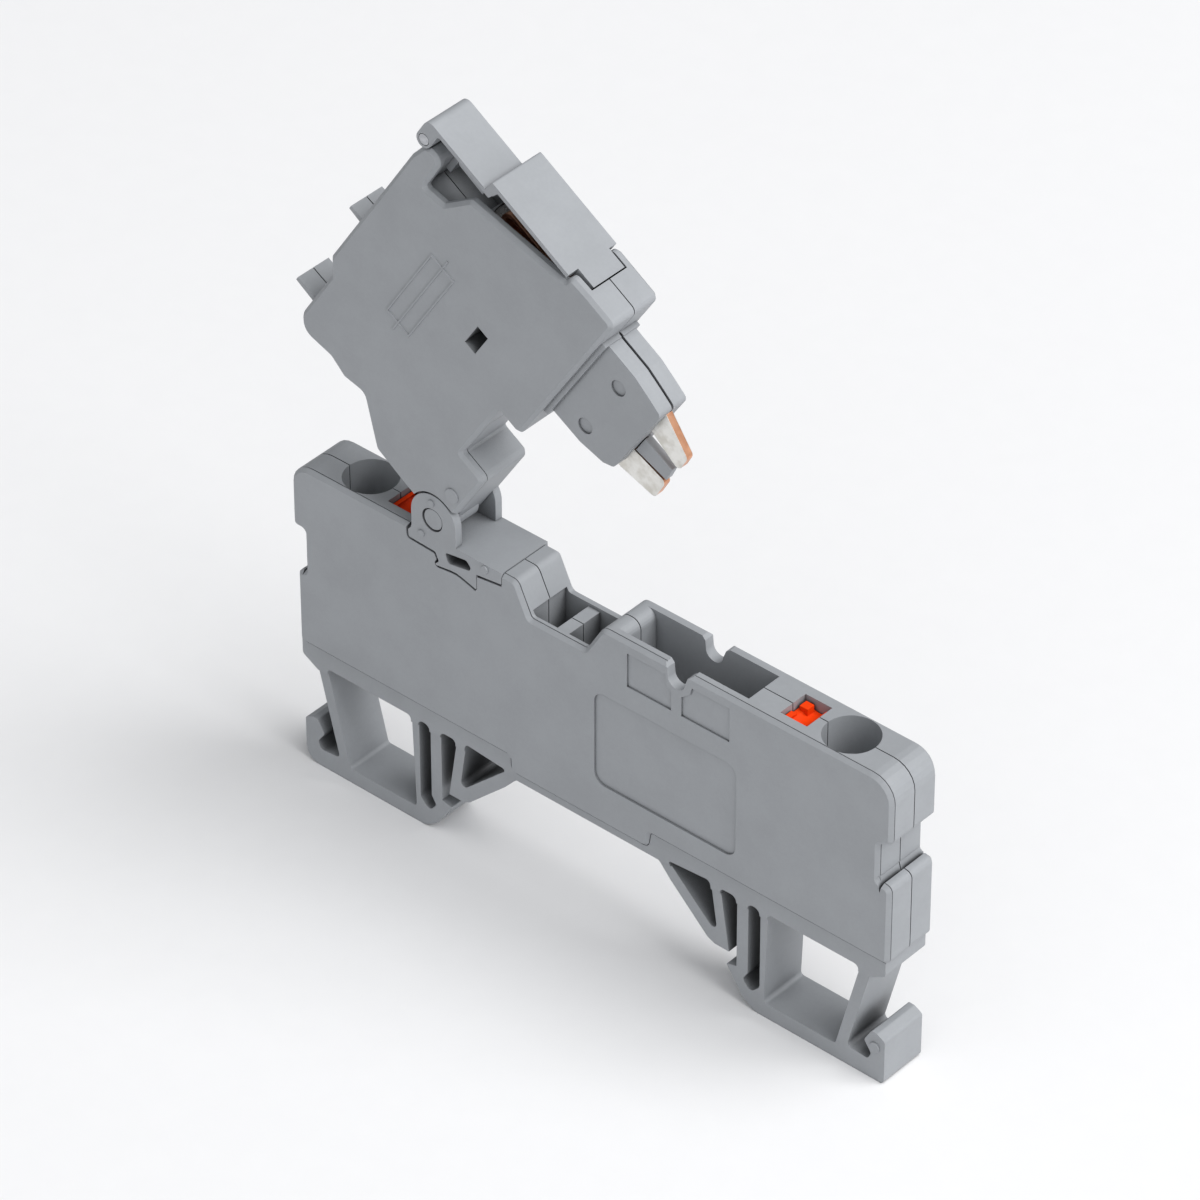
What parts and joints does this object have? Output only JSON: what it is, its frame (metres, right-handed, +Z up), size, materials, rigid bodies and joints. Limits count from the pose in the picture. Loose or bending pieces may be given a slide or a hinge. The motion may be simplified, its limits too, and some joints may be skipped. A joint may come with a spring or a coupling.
{
  "type": "fuse terminal block",
  "caption": "Narrow fuse terminal block for a mounting rail, with a hinged fuse lever, a lid, two wire entries and two release buttons.",
  "frame": {"origin": "middle of the mounting rail, at the rail's top face, where the block sits", "axes": "+X along the block to the end away from the hinge, +Y across its width to the rear side, +Z up from the rail"},
  "size_m": [0.0704, 0.0062, 0.0794],
  "materials": {
    "housing_plastic": "fine matt moulded polyamide",
    "button_plastic": "satin moulded",
    "tinned_copper": "tin plated, satin",
    "contact_copper": "bare copper alloy, satin",
    "spring_steel": "bright spring steel",
    "fuse_cap": "nickel plated",
    "fuse_glass": "clear"
  },
  "bodies": {
    "base": {"housing_body": "housing_plastic", "housing_cover": "housing_plastic", "hinge_bracket": "housing_plastic", "busbar_left": "tinned_copper", "busbar_right": "tinned_copper", "contact_fork_left": "tinned_copper", "contact_fork_right": "tinned_copper", "clamp_spring_left": "spring_steel", "clamp_spring_right": "spring_steel"},
    "button_left": {"push_button_left": "button_plastic"},
    "button_right": {"push_button_right": "button_plastic"},
    "lever": {"lever_body": "housing_plastic", "lever_cover": "housing_plastic", "blade_left": "tinned_copper", "blade_right": "tinned_copper", "contact_strip_left": "contact_copper", "contact_strip_right": "contact_copper", "fuse_tube": "fuse_glass", "fuse_cap_left": "fuse_cap", "fuse_cap_right": "fuse_cap", "fuse_wire": "fuse_cap", "lid_pin": "spring_steel"},
    "lid": {"fuse_lid": "housing_plastic"}
  },
  "joints": [
    {"name": "lever_hinge", "type": "hinge", "parent": "base", "child": "lever", "pos_m": [-0.0177, 0, 0.0314], "axis": [0, 1, 0], "range_deg": [0, 57]},
    {"name": "lid_hinge", "type": "hinge", "parent": "lever", "child": "lid", "pos_m": [-0.01793, 0, 0.07209], "axis": [0, -1, 0], "range_deg": [0, 95]},
    {"name": "button_left_press", "type": "slide", "parent": "base", "child": "button_left", "axis": [0, 0, -1], "range_m": [0, 0.0012], "stiffness_N_per_m": 400, "springref_m": -0.0005},
    {"name": "button_right_press", "type": "slide", "parent": "base", "child": "button_right", "axis": [0, 0, -1], "range_m": [0, 0.0012], "stiffness_N_per_m": 400, "springref_m": -0.0005}
  ]
}
